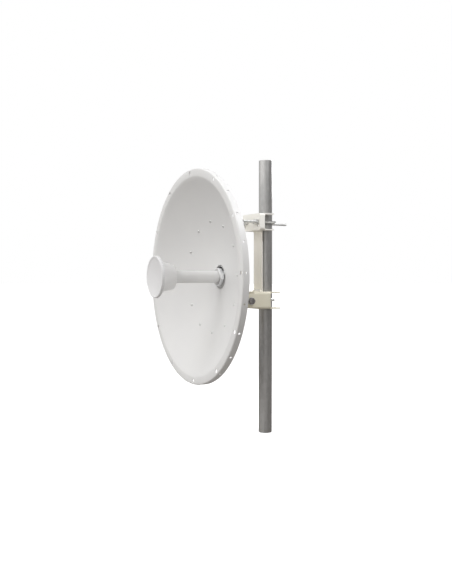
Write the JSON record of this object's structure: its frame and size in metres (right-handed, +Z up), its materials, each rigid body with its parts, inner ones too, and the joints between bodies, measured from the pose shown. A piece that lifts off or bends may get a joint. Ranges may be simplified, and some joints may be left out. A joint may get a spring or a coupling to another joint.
{
  "type": "parabolic dish antenna",
  "caption": "White parabolic dish antenna with a central feed, on a clamp that turns about a short mast and tilts in elevation.",
  "frame": {"origin": "centre of the mast's flat foot, on the mast's axis", "axes": "+Z up along the mast, -Y the way the dish faces, +X to the dish's left hand as it looks out"},
  "size_m": [0.65, 0.4833, 0.863],
  "materials": {
    "white_coat": "satin white powder coat",
    "white_plastic": "satin moulded white plastic",
    "cream_coat": "cream powder coat, slightly textured",
    "galvanised_steel": "dull galvanised tube",
    "zinc_plate": "bright zinc plate",
    "dark_zinc": "dark passivated zinc",
    "bare_aluminium": "turned, unpainted",
    "plated_brass": "dull plated",
    "grey_plastic": "moulded, matt"
  },
  "bodies": {
    "mast": {"mast_tube": "galvanised_steel", "mast_foot_plug": "grey_plastic", "mast_top_plug": "grey_plastic"},
    "mount": {"lower_bracket": "cream_coat", "upper_bracket": "cream_coat", "mount_spine": "cream_coat", "lower_u_bolt": "zinc_plate", "upper_u_bolt": "zinc_plate", "lower_u_bolt_nut_left": "zinc_plate", "lower_u_bolt_nut_right": "zinc_plate", "upper_u_bolt_nut_left": "zinc_plate", "upper_u_bolt_nut_right": "zinc_plate", "hinge_bolt": "dark_zinc", "hinge_nut": "zinc_plate", "hinge_washer_left": "zinc_plate", "hinge_washer_right": "zinc_plate", "hinge_spacer_left": "zinc_plate", "hinge_spacer_right": "zinc_plate"},
    "dish": {"reflector": "white_coat", "backing_pan": "cream_coat", "tilt_channel": "cream_coat", "upper_stay": "cream_coat", "cross_pin": "zinc_plate", "feed_tube": "white_coat", "feed_cup": "white_plastic", "feed_disc": "white_plastic", "feed_hub": "bare_aluminium", "feed_band": "bare_aluminium", "feed_back_cap": "grey_plastic", "feed_connector_left": "plated_brass", "feed_connector_right": "plated_brass"},
    "elevation_rods": {"elevation_rod_left": "zinc_plate", "elevation_rod_right": "zinc_plate"},
    "elevation_nuts": {"elevation_nut_front_left": "zinc_plate", "elevation_nut_front_right": "zinc_plate", "elevation_nut_rear_left": "zinc_plate", "elevation_nut_rear_right": "zinc_plate"}
  },
  "joints": [
    {"name": "azimuth", "type": "hinge", "parent": "mast", "child": "mount", "pos_m": [0, 0, 0.4245], "axis": [0, 0, 1], "continuous": true},
    {"name": "elevation", "type": "hinge", "parent": "mount", "child": "dish", "pos_m": [0, -0.083, 0.421], "axis": [-1, 0, 0], "range_deg": [-10, 8]},
    {"name": "rod_swivel", "type": "hinge", "parent": "dish", "child": "elevation_rods", "pos_m": [0, -0.112, 0.666], "axis": [-1, 0, 0], "range_deg": [-8.5, 10.5]},
    {"name": "nut_travel", "type": "slide", "parent": "elevation_rods", "child": "elevation_nuts", "axis": [0, 1, 0], "range_m": [-0.036, 0.044]}
  ],
  "couplings": [
    {"joint": "rod_swivel", "follows": "elevation", "ratio": -1},
    {"joint": "nut_travel", "follows": "elevation", "m_per_rad": -0.2435}
  ]
}
